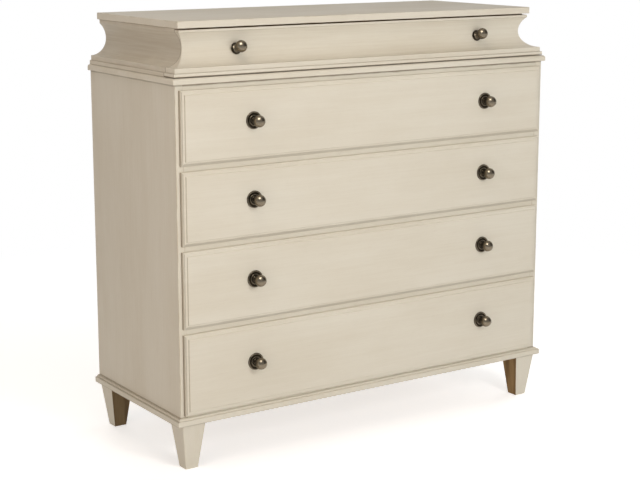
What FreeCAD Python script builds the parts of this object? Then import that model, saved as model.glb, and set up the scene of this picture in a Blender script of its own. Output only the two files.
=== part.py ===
import FreeCAD, Part

import math
import os
from types import SimpleNamespace

import Sketcher

# A wide five-drawer chest on four tapered feet. +X is the right-hand side of someone who faces
# the chest, +Y runs from the front to the back, +Z is up. The origin is on the floor, under the
# middle of the chest's overall box.

# Driving dimensions in millimetres, angles in degrees.
SIZES = {
    # case
    "overall_height": 1016.0,
    "case_width": 1056.0,
    "case_depth": 417.0,
    "side_thickness": 19.0,
    "back_thickness": 6.0,
    "back_rebate": 9.0,
    "rail_depth": 60.0,
    "runner_width": 30.0,
    # base and feet
    "foot_height": 110.0,
    "foot_top": 60.0,
    "foot_toe": 32.0,
    "foot_edge_round": 2.0,
    "foot_side_inset": 2.0,
    "foot_front_overhang": 5.0,
    "base_face_height": 12.5,
    "base_bead": 4.5,
    "base_bead_ledge": 2.5,
    "base_overhang": 11.5,
    "base_board_width": 70.0,
    "bolt_diameter": 8.0,
    "bolt_in_foot": 35.0,
    "bolt_in_base": 12.0,
    "bolt_shift": 10.0,
    "bolt_fit": 0.1,
    # waist board, frieze and top board
    "waist_thickness": 14.0,
    "waist_overhang": 7.5,
    "waist_nose_round": 6.0,
    "waist_under_round": 2.0,
    "frieze_height": 105.0,
    "frieze_end_wall": 17.5,
    "frieze_back_thickness": 12.0,
    "frieze_edge_round": 1.0,
    "band_height": 10.0,
    "band_proud": 1.5,
    "fascia_height": 11.0,
    "fascia_inset": 2.5,
    "cove_radius": 40.0,
    "neck_height": 9.0,
    "neck_inset": 27.0,
    "top_thickness": 16.0,
    "top_side_inset": 22.0,
    "top_front_inset": 23.0,
    "top_back_overhang": 4.0,
    "top_edge_round": 2.0,
    # drawer openings and lipped fronts
    "drawer_3_extra_height": 10.0,
    "drawer_4_extra_height": 22.0,
    "top_reveal": 12.0,
    "rail_reveal": 12.5,
    "bottom_reveal": 4.5,
    "stile_reveal": 9.0,
    "lip_overlap": 5.0,
    "closing_gap": 0.3,
    "block_depth": 11.0,
    "lip_proud": 7.6,
    "ledge_proud": 8.8,
    "field_proud": 10.8,
    "ledge_inset": 3.3,
    "field_inset": 9.7,
    "lip_round": 2.0,
    "ledge_round": 0.8,
    "field_round": 1.6,
    # frieze drawer front
    "frieze_web": 2.5,
    "frieze_seam_gap": 0.8,
    "frieze_gap_below": 1.5,
    "frieze_gap_above": 3.5,
    "frieze_block_depth": 15.0,
    # drawer boxes
    "box_rear_gap": 30.0,
    "frieze_box_rear_gap": 25.0,
    "frieze_box_height": 84.0,
    "box_clearance": 1.5,
    "box_top_gap": 10.0,
    "slide_gap": 0.3,
    "box_side_thickness": 12.0,
    "box_back_thickness": 12.0,
    "box_back_drop": 6.0,
    "bottom_thickness": 6.0,
    "bottom_rise": 10.0,
    "groove_depth": 6.0,
    "groove_fit": 0.15,
    "tail_length": 9.0,
    "tail_root": 13.0,
    "tail_end": 18.0,
    "tail_count": 4,
    "frieze_tail_count": 2,
    # knobs, rosettes and screws
    "knob_spacing": 670.0,
    "knob_rise": 7.0,
    "knob_ball": 27.5,
    "knob_ball_height": 21.0,
    "knob_neck": 9.6,
    "knob_foot": 14.0,
    "knob_foot_thickness": 1.2,
    "knob_flare": 1.7,
    "frieze_knob_spacing": 696.0,
    "frieze_knob_ball": 27.5,
    "frieze_knob_ball_height": 24.5,
    "frieze_knob_foot": 26.5,
    "frieze_knob_foot_thickness": 2.0,
    "frieze_knob_flare": 5.8,
    "frieze_knob_tilt": 16.0,
    "frieze_knob_lift": 4.4,
    "frieze_knob_grip": 14.0,
    "knob_seat_fit": 0.5,
    "rosette_diameter": 40.0,
    "rosette_edge": 1.8,
    "rosette_rim": 3.4,
    "rosette_floor": 2.0,
    "rosette_boss": 3.0,
    "screw_diameter": 4.0,
    "screw_head": 8.0,
    "screw_head_height": 2.5,
    "screw_in_knob": 11.0,
    "screw_bore_fit": 0.1,
    "screw_hole_fit": 0.6,
}

# The four lipped drawers, from the top down.
DRAWERS = ("drawer_1", "drawer_2", "drawer_3", "drawer_4")

doc = FreeCAD.newDocument("chest_of_drawers")
sheet = doc.addObject("Spreadsheet::Sheet", "Sizes")


def fill_sheet():
    """Write each driving dimension into the sheet under its own alias."""
    for row, (name, value) in enumerate(SIZES.items(), start=1):
        sheet.set(f"A{row}", name)
        sheet.set(f"B{row}", str(value))
        sheet.setAlias(f"B{row}", name)
    doc.recompute()


# Sizes that carry their own formula


class Size:
    """A size: its value, and the expression on the sheet that gives it."""

    def __init__(self, value, text):
        self.value = value
        self.text = text

    def __add__(self, other):
        other = as_size(other)
        return Size(self.value + other.value, f"({self.text} + {other.text})")

    def __sub__(self, other):
        other = as_size(other)
        return Size(self.value - other.value, f"({self.text} - {other.text})")

    def __mul__(self, other):
        other = as_size(other)
        return Size(self.value * other.value, f"({self.text} * {other.text})")

    def __truediv__(self, other):
        other = as_size(other)
        return Size(self.value / other.value, f"({self.text} / {other.text})")

    def __rsub__(self, other):
        return as_size(other) - self

    def __rmul__(self, other):
        return as_size(other) * self

    def __neg__(self):
        return Size(-self.value, f"(-{self.text})")


def as_size(term):
    return term if isinstance(term, Size) else Size(term, str(term))


def root(square):
    return Size(math.sqrt(square.value), f"sqrt({square.text})")


def sine(angle):
    return Size(math.sin(math.radians(angle.value)), f"sin({angle.text})")


def cosine(angle):
    return Size(math.cos(math.radians(angle.value)), f"cos({angle.text})")


def limited(radius, wall):
    """An edge rounding that stays just inside the wall that it is cut in."""
    room = 0.95 * wall
    return Size(min(radius.value, room.value), f"min({radius.text}; {room.text})")


def mirrored_span(half):
    return (-half, half)


fill_sheet()
s = SimpleNamespace(**{name: Size(value, f"Sizes.{name}") for name, value in SIZES.items()})

# Places worked out from the driving dimensions

half_width = s.case_width / 2
knob_reach = s.field_proud + s.rosette_boss + s.knob_ball_height + s.knob_ball / 2
front = (knob_reach - s.case_depth - s.top_back_overhang) / 2
back = front + s.case_depth
back_inside = back - s.back_thickness

base_bottom = s.foot_height
base_height = s.base_face_height + s.base_bead
case_bottom = base_bottom + base_height
top_bottom = s.overall_height - s.top_thickness
waist_top = top_bottom - s.frieze_height
waist_bottom = waist_top - s.waist_thickness

# The top two drawers are equally high, and each of the lower two is a little higher.
reveals = s.top_reveal + (len(DRAWERS) - 1) * s.rail_reveal + s.bottom_reveal
extra_heights = s.drawer_3_extra_height + s.drawer_4_extra_height
drawer_height = (waist_bottom - case_bottom - reveals - extra_heights) / len(DRAWERS)
drawer_heights = {
    "drawer_1": drawer_height,
    "drawer_2": drawer_height,
    "drawer_3": drawer_height + s.drawer_3_extra_height,
    "drawer_4": drawer_height + s.drawer_4_extra_height,
}
lip_low = {}
lip_high = {}
level = case_bottom + s.bottom_reveal
for drawer in reversed(DRAWERS):
    lip_low[drawer] = level
    lip_high[drawer] = level + drawer_heights[drawer]
    level = lip_high[drawer] + s.rail_reveal
opening_low = {drawer: lip_low[drawer] + s.lip_overlap for drawer in DRAWERS}
opening_high = {drawer: lip_high[drawer] - s.lip_overlap for drawer in DRAWERS}
opening_half = half_width - s.side_thickness

cove_depth = s.fascia_inset + s.cove_radius
cove_middle = s.band_height + s.fascia_height + s.cove_radius
cove_top = s.frieze_height - s.neck_height
frieze_end_width = cove_depth + s.frieze_end_wall
frieze_half = half_width - frieze_end_width
frieze_seam_depth = cove_depth + s.frieze_web
frieze_seam = front + frieze_seam_depth
frieze_block_back = frieze_seam + s.frieze_block_depth

screw_bore = (s.screw_diameter + s.screw_bore_fit) / 2
screw_hole = (s.screw_diameter + s.screw_hole_fit) / 2

# Drawing helpers

nodes = []


def keep(obj, label):
    """Give a finished sub-part its name and put it on the list of nodes."""
    obj.Label = label
    nodes.append(obj)
    return obj


def place(obj, x, y, z):
    for axis, where in zip("xyz", (x, y, z)):
        obj.setExpression(f"Placement.Base.{axis}", as_size(where).text)
    return obj


def turn(obj, axis, angle):
    """Turn an object about an axis through its own origin."""
    angle = as_size(angle)
    rotation = FreeCAD.Rotation(FreeCAD.Vector(*axis), angle.value)
    obj.Placement = FreeCAD.Placement(FreeCAD.Vector(), rotation)
    obj.setExpression("Placement.Rotation.Angle", angle.text)
    return obj


def stretch(obj, x, y, z):
    """Size and place a box between its low and high places in each direction."""
    for side, (low, high) in zip(("Length", "Width", "Height"), (x, y, z)):
        obj.setExpression(side, (high - low).text)
    return place(obj, x[0], y[0], z[0])


def board(name, x, y, z):
    return stretch(doc.addObject("Part::Box", name), x, y, z)


def rod(name, radius, length):
    """A cylinder that stands on its own origin."""
    cylinder = doc.addObject("Part::Cylinder", name)
    cylinder.setExpression("Radius", radius.text)
    cylinder.setExpression("Height", length.text)
    return cylinder


def fuse(name, pieces):
    joined = doc.addObject("Part::MultiFuse", name)
    joined.Shapes = pieces
    joined.Refine = True
    return joined


def cut(name, base, tools):
    result = doc.addObject("Part::Cut", name)
    result.Base = base
    result.Tool = tools[0] if len(tools) == 1 else fuse(f"{name}_tools", tools)
    return result


def common(name, first, second):
    shared = doc.addObject("Part::MultiCommon", name)
    shared.Shapes = [first, second]
    return shared


def mirror(name, source):
    """The same piece on the other side of the chest."""
    copy = doc.addObject("Part::Mirroring", name)
    copy.Source = source
    copy.Normal = FreeCAD.Vector(1, 0, 0)
    return copy


def group(name, pieces):
    together = doc.addObject("Part::Compound", name)
    together.Links = pieces
    return together


def origin_plane(body, role):
    return next(plane for plane in body.Origin.OriginFeatures if plane.Role == role)


def pin_point(sketch, geometry, end, point):
    """Fix a point of a sketch by its distances from the sketch's origin."""
    for kind, axis, where in (("DistanceX", -2, point[0]), ("DistanceY", -1, point[1])):
        where = as_size(where)
        if where.value == 0:
            sketch.addConstraint(Sketcher.Constraint("PointOnObject", geometry, end, axis))
        else:
            number = sketch.addConstraint(
                Sketcher.Constraint(kind, -1, 1, geometry, end, where.value)
            )
            sketch.setExpression(f"Constraints[{number}]", where.text)


def arc_between(start, end, centre):
    """The shorter arc about a centre, and whether it runs from start to end."""
    first = math.atan2(start.y - centre.y, start.x - centre.x)
    last = math.atan2(end.y - centre.y, end.x - centre.x)
    forward = (last - first) % (2 * math.pi) <= math.pi
    if not forward:
        first, last = last, first
    circle = Part.Circle(centre, FreeCAD.Vector(0, 0, 1), start.distanceToPoint(centre))
    return Part.ArcOfCircle(circle, first, last), forward


def outline(body, plane, points, arcs):
    """A closed sketch through the points; arcs gives the centre and radius of its round sides."""
    sketch = body.newObject("Sketcher::SketchObject", f"{body.Name}_outline")
    sketch.AttachmentSupport = [(origin_plane(body, plane), "")]
    sketch.MapMode = "FlatFace"
    corners = [FreeCAD.Vector(as_size(x).value, as_size(y).value, 0) for x, y in points]
    ends = []
    for index, start in enumerate(corners):
        end = corners[(index + 1) % len(corners)]
        if index in arcs:
            centre, radius = arcs[index]
            middle = FreeCAD.Vector(as_size(centre[0]).value, as_size(centre[1]).value, 0)
            arc, forward = arc_between(start, end, middle)
            side = sketch.addGeometry(arc)
            ends.append((side, 1, 2) if forward else (side, 2, 1))
            number = sketch.addConstraint(Sketcher.Constraint("Radius", side, radius.value))
            sketch.setExpression(f"Constraints[{number}]", radius.text)
        else:
            side = sketch.addGeometry(Part.LineSegment(start, end))
            ends.append((side, 1, 2))
    for index, (side, first, last) in enumerate(ends):
        following, following_first = ends[(index + 1) % len(ends)][:2]
        sketch.addConstraint(
            Sketcher.Constraint("Coincident", side, last, following, following_first)
        )
        pin_point(sketch, side, first, points[index])
    return sketch


def padded(body, sketch, length):
    """Extrude an outline towards the positive side of the body."""
    pad = body.newObject("PartDesign::Pad", f"{body.Name}_pad")
    pad.Profile = sketch
    pad.setExpression("Length", length.text)
    pad.Reversed = sketch.AttachmentSupport[0][0].Role == "XZ_Plane"
    doc.recompute()
    return pad


def turned(name, points, arcs):
    """A turned piece: an outline of radius and height, spun about its own upright axis."""
    body = doc.addObject("PartDesign::Body", name)
    sketch = outline(body, "XZ_Plane", points, arcs)
    spin = body.newObject("PartDesign::Revolution", f"{name}_spin")
    spin.Profile = sketch
    spin.ReferenceAxis = (sketch, ["V_Axis"])
    spin.Angle = 360
    return body


def round_edges(body, radius, chosen):
    """Round the edges of the body so far that the test picks."""
    doc.recompute()
    base = body.Tip
    edges = base.Shape.Edges
    names = [f"Edge{number}" for number, edge in enumerate(edges, start=1) if chosen(edge)]
    fillet = body.newObject("PartDesign::Fillet", f"{base.Name}_round")
    fillet.Base = (base, names)
    fillet.setExpression("Radius", radius.text)
    doc.recompute()


def near(first, second):
    return abs(first - second) < 0.001


# Case


def make_sides():
    """Side panels, rebated along their rear inner edge for the back panel."""
    panel = board(
        "side_board",
        (-half_width, -opening_half),
        (front, back),
        (case_bottom, waist_bottom),
    )
    rebate = board(
        "side_rebate",
        (-opening_half - s.back_rebate, -opening_half),
        (back_inside, back),
        (case_bottom, waist_bottom),
    )
    left = keep(cut("side_left", panel, [rebate]), "side_panel_left")
    keep(mirror("side_right", left), "side_panel_right")


def make_back():
    keep(
        board(
            "back",
            mirrored_span(opening_half + s.back_rebate),
            (back_inside, back),
            (case_bottom, waist_bottom),
        ),
        "back_panel",
    )


def rail(name, low, high):
    return board(name, mirrored_span(opening_half), (front, front + s.rail_depth), (low, high))


def make_rails():
    """Front rails above, between and below the drawers."""
    keep(rail("rail_above", opening_high[DRAWERS[0]], waist_bottom), "top_rail")
    between = [
        rail(f"rail_under_{upper}", opening_high[lower], opening_low[upper])
        for upper, lower in zip(DRAWERS, DRAWERS[1:])
    ]
    keep(group("rails_between", between), "drawer_rails")
    keep(rail("rail_below", case_bottom, opening_low[DRAWERS[-1]]), "bottom_rail")


def make_runners():
    """A runner on each side panel for each main drawer, level with the rail in front of it."""
    thickness = s.bottom_reveal + s.lip_overlap
    runners = []
    for drawer in DRAWERS:
        left = board(
            f"{drawer}_runner_left",
            (-opening_half, -opening_half + s.runner_width),
            (front + s.rail_depth, back_inside),
            (opening_low[drawer] - thickness, opening_low[drawer]),
        )
        runners += [left, mirror(f"{drawer}_runner_right", left)]
    keep(group("runners", runners), "drawer_runners")


def make_waist():
    """The moulded board over the case, with a rounded nose on its front and sides."""
    half = half_width + s.waist_overhang
    nose = front - s.waist_overhang
    body = doc.addObject("PartDesign::Body", "waist")
    slab = body.newObject("PartDesign::AdditiveBox", "waist_slab")
    stretch(slab, mirrored_span(half), (nose, back), (waist_bottom, waist_top))

    def on_moulded_side(edge, level):
        middle = edge.BoundBox.Center
        at_side = near(abs(middle.x), half.value) or near(middle.y, nose.value)
        return at_side and near(middle.z, level.value)

    round_edges(body, s.waist_nose_round, lambda edge: on_moulded_side(edge, waist_top))
    round_edges(body, s.waist_under_round, lambda edge: on_moulded_side(edge, waist_bottom))
    keep(body, "waist_board")


def make_top():
    body = doc.addObject("PartDesign::Body", "top")
    slab = body.newObject("PartDesign::AdditiveBox", "top_slab")
    stretch(
        slab,
        mirrored_span(half_width - s.top_side_inset),
        (front + s.top_front_inset, back + s.top_back_overhang),
        (top_bottom, s.overall_height),
    )
    round_edges(body, s.top_edge_round, lambda edge: True)
    keep(body, "top_board")


# Frieze


def cove_blank(name, depth, low, high, length):
    """The frieze moulding: band, fascia, deep cove and upright neck, run along the body's Y axis.

    Its X is measured back from the face of the band, and its Z up from the waist board.
    """
    fascia = s.band_proud + s.fascia_inset
    neck = s.band_proud + s.neck_inset
    deepest = s.band_proud + cove_depth
    drawn_in = deepest - neck
    rise = cove_top - cove_middle
    upper_radius = (drawn_in * drawn_in + rise * rise) / (2 * drawn_in)
    points = [
        (0, low),
        (0, s.band_height),
        (fascia, s.band_height),
        (fascia, s.band_height + s.fascia_height),
        (deepest, cove_middle),
        (neck, cove_top),
        (neck, high),
        (depth, high),
        (depth, low),
    ]
    arcs = {
        3: ((fascia, cove_middle), s.cove_radius),
        4: ((deepest - upper_radius, cove_middle), upper_radius),
    }
    body = doc.addObject("PartDesign::Body", name)
    padded(body, outline(body, "XZ_Plane", points, arcs), length)
    sharp = (points[1], points[3], points[5])

    def at_sharp_corner(edge):
        middle = edge.BoundBox.Center
        along = edge.BoundBox.YLength > 1
        return along and any(
            near(middle.x, as_size(x).value) and near(middle.z, as_size(z).value) for x, z in sharp
        )

    round_edges(body, limited(s.frieze_edge_round, s.fascia_inset), at_sharp_corner)
    return body


def make_frieze_ends():
    start = frieze_seam + s.frieze_seam_gap
    outer = half_width + s.band_proud
    end = cove_blank(
        "frieze_end",
        s.band_proud + frieze_end_width,
        as_size(0),
        s.frieze_height,
        back - start,
    )
    left = keep(place(end, -outer, start, waist_top), "frieze_end_left")
    keep(mirror("frieze_end_copy", left), "frieze_end_right")
    keep(
        board(
            "frieze_rear",
            mirrored_span(frieze_half),
            (back - s.frieze_back_thickness, back),
            (waist_top, top_bottom),
        ),
        "frieze_back",
    )


# Base and feet


def base_board(name, length, mitre_low, mitre_high):
    """A moulded base board along the body's X axis, with its moulded edge at Y = 0."""
    ledge = s.base_overhang - s.base_bead_ledge
    bead_face = ledge - s.base_bead
    points = [
        (0, 0),
        (s.base_board_width, 0),
        (s.base_board_width, base_height),
        (ledge, base_height),
        (bead_face, s.base_face_height),
        (0, s.base_face_height),
    ]
    arcs = {3: ((ledge, s.base_face_height), s.base_bead)}
    body = doc.addObject("PartDesign::Body", f"{name}_moulding")
    padded(body, outline(body, "YZ_Plane", points, arcs), length)
    wedge = doc.addObject("Part::Wedge", f"{name}_mitre")
    spans = {
        "Xmin": as_size(0),
        "Xmax": length,
        "X2min": mitre_low,
        "X2max": length - mitre_high,
        "Ymin": as_size(0),
        "Ymax": s.base_board_width,
        "Zmin": as_size(0),
        "Zmax": base_height,
        "Z2min": as_size(0),
        "Z2max": base_height,
    }
    for side, where in spans.items():
        wedge.setExpression(side, where.text)
    return common(f"{name}_mitred", body, wedge)


def bolt_hole(name, where, low, high):
    """A hole for a foot bolt, between two heights."""
    hole = rod(name, (s.bolt_diameter + s.bolt_fit) / 2, high - low)
    return place(hole, where[0], where[1], low)


def make_base(bolt_front, bolt_rear):
    """Base frame: moulded front and side boards, mitred at the front, and a plain back board."""
    outer = half_width + s.base_overhang
    nose = front - s.base_overhang
    hole_top = base_bottom + s.bolt_in_base
    width = s.base_board_width
    front_board = place(base_board("base_f", 2 * outer, width, width), -outer, nose, base_bottom)
    left_hole = bolt_hole("base_front_hole", bolt_front, base_bottom, hole_top)
    holes = [left_hole, mirror("base_front_hole_copy", left_hole)]
    keep(cut("base_front_drilled", front_board, holes), "base_front")

    side_board = turn(base_board("base_l", back - nose, as_size(0), width), (0, 0, 1), -90)
    place(side_board, -outer, back, base_bottom)
    rear_hole = bolt_hole("base_rear_hole", bolt_rear, base_bottom, hole_top)
    left = keep(cut("base_left_drilled", side_board, [rear_hole]), "base_left")
    keep(mirror("base_right_copy", left), "base_right")
    keep(
        board(
            "base_rear",
            mirrored_span(outer - width),
            (back - width, back),
            (base_bottom, case_bottom),
        ),
        "base_back",
    )


def tapered_foot(name, middle):
    """A square foot that tapers evenly to its toe, with eased corners."""
    body = doc.addObject("PartDesign::Body", name)
    taper = body.newObject("PartDesign::AdditiveWedge", f"{name}_taper")
    half_top = s.foot_top / 2
    half_toe = s.foot_toe / 2
    for side, where in {
        "Xmin": -half_top,
        "Xmax": half_top,
        "Zmin": -half_top,
        "Zmax": half_top,
        "X2min": -half_toe,
        "X2max": half_toe,
        "Z2min": -half_toe,
        "Z2max": half_toe,
        "Ymin": as_size(0),
        "Ymax": s.foot_height,
    }.items():
        taper.setExpression(side, where.text)
    round_edges(body, s.foot_edge_round, lambda edge: edge.BoundBox.YLength > 1)
    turn(body, (1, 0, 0), -90)
    return place(body, middle[0], middle[1], s.foot_height)


def make_feet(bolt_front, bolt_rear):
    """Four feet, each held to the base frame by one hanger bolt."""
    bolts = []
    for end, bolt in (("front", bolt_front), ("back", bolt_rear)):
        middle = (bolt[0] - s.bolt_shift, bolt[1])
        foot = tapered_foot(f"foot_{end}", middle)
        low = s.foot_height - s.bolt_in_foot
        hole = bolt_hole(f"foot_{end}_hole", bolt, low, s.foot_height)
        left = keep(cut(f"foot_{end}_drilled", foot, [hole]), f"foot_{end}_left")
        keep(mirror(f"foot_{end}_copy", left), f"foot_{end}_right")
        stud = rod(f"bolt_{end}", s.bolt_diameter / 2, s.bolt_in_foot + s.bolt_in_base)
        place(stud, bolt[0], bolt[1], low)
        bolts += [stud, mirror(f"bolt_{end}_copy", stud)]
    keep(group("bolts", bolts), "foot_bolts")


# Drawers


def tail(name, x, roots, ends, middle):
    """One dovetail: narrow where it leaves the side at roots, wide at its far end."""
    wedge = doc.addObject("Part::Wedge", name)
    root_half = s.tail_root / 2
    end_half = s.tail_end / 2
    forward = ends.value < roots.value
    first_half, last_half = (end_half, root_half) if forward else (root_half, end_half)
    spans = {
        "Xmin": x[0],
        "Xmax": x[1],
        "X2min": x[0],
        "X2max": x[1],
        "Ymin": ends if forward else roots,
        "Ymax": roots if forward else ends,
        "Zmin": middle - first_half,
        "Zmax": middle + first_half,
        "Z2min": middle - last_half,
        "Z2max": middle + last_half,
    }
    for side, where in spans.items():
        wedge.setExpression(side, where.text)
    return wedge


def tail_row(name, x, roots, ends, low, high, count):
    """A row of evenly spaced dovetails between two heights."""
    pitch = (high - low) / count
    return [
        tail(f"{name}_{index}", x, roots, ends, low + pitch * (index + 0.5))
        for index in range(int(count.value))
    ]


def drawer_box(drawer, half, shoulder, rear, low, high, tail_count):
    """Sides, back and bottom of one drawer. Returns what its front has to be cut by."""
    outer = half - s.box_clearance
    inner = outer - s.box_side_thickness
    rear_shoulder = rear - s.box_back_thickness
    bottom_low = low + s.bottom_rise
    bottom_high = bottom_low + s.bottom_thickness
    back_low = bottom_high + s.groove_fit
    back_high = high - s.box_back_drop
    groove_z = (bottom_low - s.groove_fit, back_low)
    side_x = (-outer, -inner)

    front_tails = tail_row(
        f"{drawer}_front_tail", side_x, shoulder, shoulder - s.tail_length, low, high, tail_count
    )
    back_tails = tail_row(
        f"{drawer}_back_tail", side_x, rear_shoulder, rear, back_low, back_high, tail_count
    )
    side_boards = [
        board(f"{drawer}_side_board", side_x, (shoulder, rear_shoulder), (low, high)),
        board(f"{drawer}_side_heel", side_x, (rear_shoulder, rear), (low, back_low)),
        board(f"{drawer}_side_horn", side_x, (rear_shoulder, rear), (back_high, high)),
    ]
    side = fuse(f"{drawer}_side_whole", side_boards + front_tails + back_tails)
    side_groove = board(
        f"{drawer}_side_groove",
        (-inner - s.groove_depth, -inner),
        (shoulder - s.groove_depth, rear),
        groove_z,
    )
    left = keep(cut(f"{drawer}_side", side, [side_groove]), f"{drawer}_side_left")
    keep(mirror(f"{drawer}_side_copy", left), f"{drawer}_side_right")

    rear_board = board(
        f"{drawer}_back_board", mirrored_span(outer), (rear_shoulder, rear), (back_low, back_high)
    )
    back_sockets = fuse(f"{drawer}_back_sockets", back_tails)
    back_tools = [back_sockets, mirror(f"{drawer}_back_sockets_copy", back_sockets)]
    keep(cut(f"{drawer}_back_cut", rear_board, back_tools), f"{drawer}_back")

    keep(
        board(
            f"{drawer}_bottom_board",
            mirrored_span(inner + s.groove_depth - s.groove_fit),
            (shoulder - s.groove_depth + s.groove_fit, rear),
            (bottom_low, bottom_high),
        ),
        f"{drawer}_bottom",
    )
    front_sockets = fuse(f"{drawer}_front_sockets", front_tails)
    front_groove = board(
        f"{drawer}_front_groove",
        mirrored_span(inner + s.groove_depth),
        (shoulder - s.groove_depth, shoulder),
        groove_z,
    )
    return [front_sockets, mirror(f"{drawer}_front_sockets_copy", front_sockets), front_groove]


def lipped_front(drawer):
    """A moulded front whose lip covers the edges of its opening, on a block that fills it."""
    seat = front - s.closing_gap
    lip_half = half_width - s.stile_reveal
    body = doc.addObject("PartDesign::Body", f"{drawer}_moulding")
    steps = (
        ("lip", as_size(0), s.lip_proud, limited(s.lip_round, s.ledge_inset)),
        ("ledge", s.ledge_inset, s.ledge_proud, limited(s.ledge_round, s.ledge_proud - s.lip_proud)),
        ("field", s.field_inset, s.field_proud, limited(s.field_round, s.field_proud - s.ledge_proud)),
    )
    for name, inset, proud, radius in steps:
        half = lip_half - inset
        low = lip_low[drawer] + inset
        high = lip_high[drawer] - inset
        face = front - proud
        slab = body.newObject("PartDesign::AdditiveBox", f"{drawer}_{name}")
        stretch(slab, mirrored_span(half), (face, seat), (low, high))

        def around_face(edge):
            middle = edge.BoundBox.Center
            at_end = near(abs(middle.x), half.value)
            at_top_or_bottom = near(middle.z, low.value) or near(middle.z, high.value)
            return near(middle.y, face.value) and (at_end or at_top_or_bottom)

        round_edges(body, radius, around_face)
    block = body.newObject("PartDesign::AdditiveBox", f"{drawer}_block")
    stretch(
        block,
        mirrored_span(opening_half - s.box_clearance),
        (seat, front + s.block_depth),
        (opening_low[drawer] + s.box_clearance, opening_high[drawer] - s.box_clearance),
    )
    return body


def along_axis(seat, distance, tilt):
    """The place a distance out from a knob's seat, along its axis."""
    return (seat[0], seat[1] - distance * cosine(tilt), seat[2] + distance * sine(tilt))


def stand_out(obj, where, tilt):
    """Stand a turned piece out from a drawer front, its axis tilted up from level."""
    return place(turn(obj, (1, 0, 0), 90 - tilt), *where)


def knob_body(name, ball, ball_height, foot, foot_thickness, widest_flare):
    """A ball knob with a slim neck flaring into its foot, bored for its screw."""
    ball_radius = ball / 2
    neck = s.knob_neck / 2
    foot_radius = foot / 2
    flare = limited(widest_flare, foot_radius - neck)
    flare_top = foot_thickness + flare
    ball_start = ball_height - root(ball_radius * ball_radius - neck * neck)
    points = [
        (screw_bore, 0),
        (foot_radius, 0),
        (foot_radius, foot_thickness),
        (neck + flare, foot_thickness),
        (neck, flare_top),
        (neck, ball_start),
        (ball_radius, ball_height),
        (0, ball_height + ball_radius),
        (0, s.screw_in_knob),
        (screw_bore, s.screw_in_knob),
    ]
    arcs = {
        3: ((neck + flare, flare_top), flare),
        5: ((0, ball_height), ball_radius),
        6: ((0, ball_height), ball_radius),
    }
    return turned(name, points, arcs)


def rosette_body(name):
    """A round back plate with a raised rim, one inner ring and a boss under the knob."""
    rim = s.rosette_diameter / 2
    boss = (s.knob_foot + s.knob_seat_fit) / 2
    ring = (rim - boss) / 8
    rim_round = s.rosette_rim - s.rosette_edge
    points = [
        (screw_hole, 0),
        (rim, 0),
        (rim, s.rosette_edge),
        (rim - rim_round, s.rosette_rim),
        (rim - 2 * ring, s.rosette_rim),
        (rim - 3 * ring, s.rosette_floor),
        (rim - 4 * ring, s.rosette_floor),
        (rim - 5 * ring, s.rosette_boss),
        (rim - 6 * ring, s.rosette_boss),
        (boss + ring, s.rosette_floor),
        (boss, s.rosette_boss),
        (screw_hole, s.rosette_boss),
    ]
    return turned(name, points, {2: ((rim - rim_round, s.rosette_edge), rim_round)})


def screw_body(name, grip):
    """A pan-head screw whose head bears at its own origin and whose shank runs up into the knob."""
    length = grip + s.screw_in_knob - s.screw_bore_fit
    head_radius = s.screw_head / 2
    dome = s.screw_head_height / 2
    points = [
        (0, 0),
        (head_radius - dome, 0),
        (head_radius, dome),
        (head_radius, s.screw_head_height),
        (s.screw_diameter / 2, s.screw_head_height),
        (s.screw_diameter / 2, s.screw_head_height + length),
        (0, s.screw_head_height + length),
    ]
    return turned(name, points, {1: ((head_radius - dome, dome), dome)})


def pair(drawer, name, piece):
    """The same fitting at both ends of a drawer front, as one node."""
    copy = mirror(f"{drawer}_{name}_copy", piece)
    keep(group(f"{drawer}_{name}_pair", [piece, copy]), f"{drawer}_{name}")


def hole_pair(name, hole):
    return [hole, mirror(f"{name}_copy", hole)]


def make_drawer(drawer):
    """One of the four lipped drawers, with its knobs, rosettes and screws."""
    untilted = as_size(0)
    shoulder = front + s.block_depth
    low = opening_low[drawer] + s.slide_gap
    high = opening_high[drawer] - s.box_top_gap
    rear = back_inside - s.box_rear_gap
    sockets = drawer_box(drawer, opening_half, shoulder, rear, low, high, s.tail_count)

    knob_level = (lip_low[drawer] + lip_high[drawer]) / 2 + s.knob_rise
    field = (-s.knob_spacing / 2, front - s.field_proud, knob_level)
    front_thickness = s.field_proud + s.block_depth
    grip = front_thickness + s.rosette_boss
    hole = rod(f"{drawer}_knob_hole", screw_hole, front_thickness)
    stand_out(hole, along_axis(field, -front_thickness, untilted), untilted)
    tools = sockets + hole_pair(f"{drawer}_knob_hole", hole)
    keep(cut(f"{drawer}_front_cut", lipped_front(drawer), tools), f"{drawer}_front")

    rosette = stand_out(rosette_body(f"{drawer}_rosette"), field, untilted)
    pair(drawer, "rosettes", rosette)
    knob = knob_body(
        f"{drawer}_knob",
        s.knob_ball,
        s.knob_ball_height,
        s.knob_foot,
        s.knob_foot_thickness,
        s.knob_flare,
    )
    knob_seat = along_axis(field, s.rosette_boss, untilted)
    pair(drawer, "knobs", stand_out(knob, knob_seat, untilted))
    screw = screw_body(f"{drawer}_screw", grip)
    screw_start = along_axis(field, -front_thickness - s.screw_head_height, untilted)
    pair(drawer, "knob_screws", stand_out(screw, screw_start, untilted))


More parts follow.
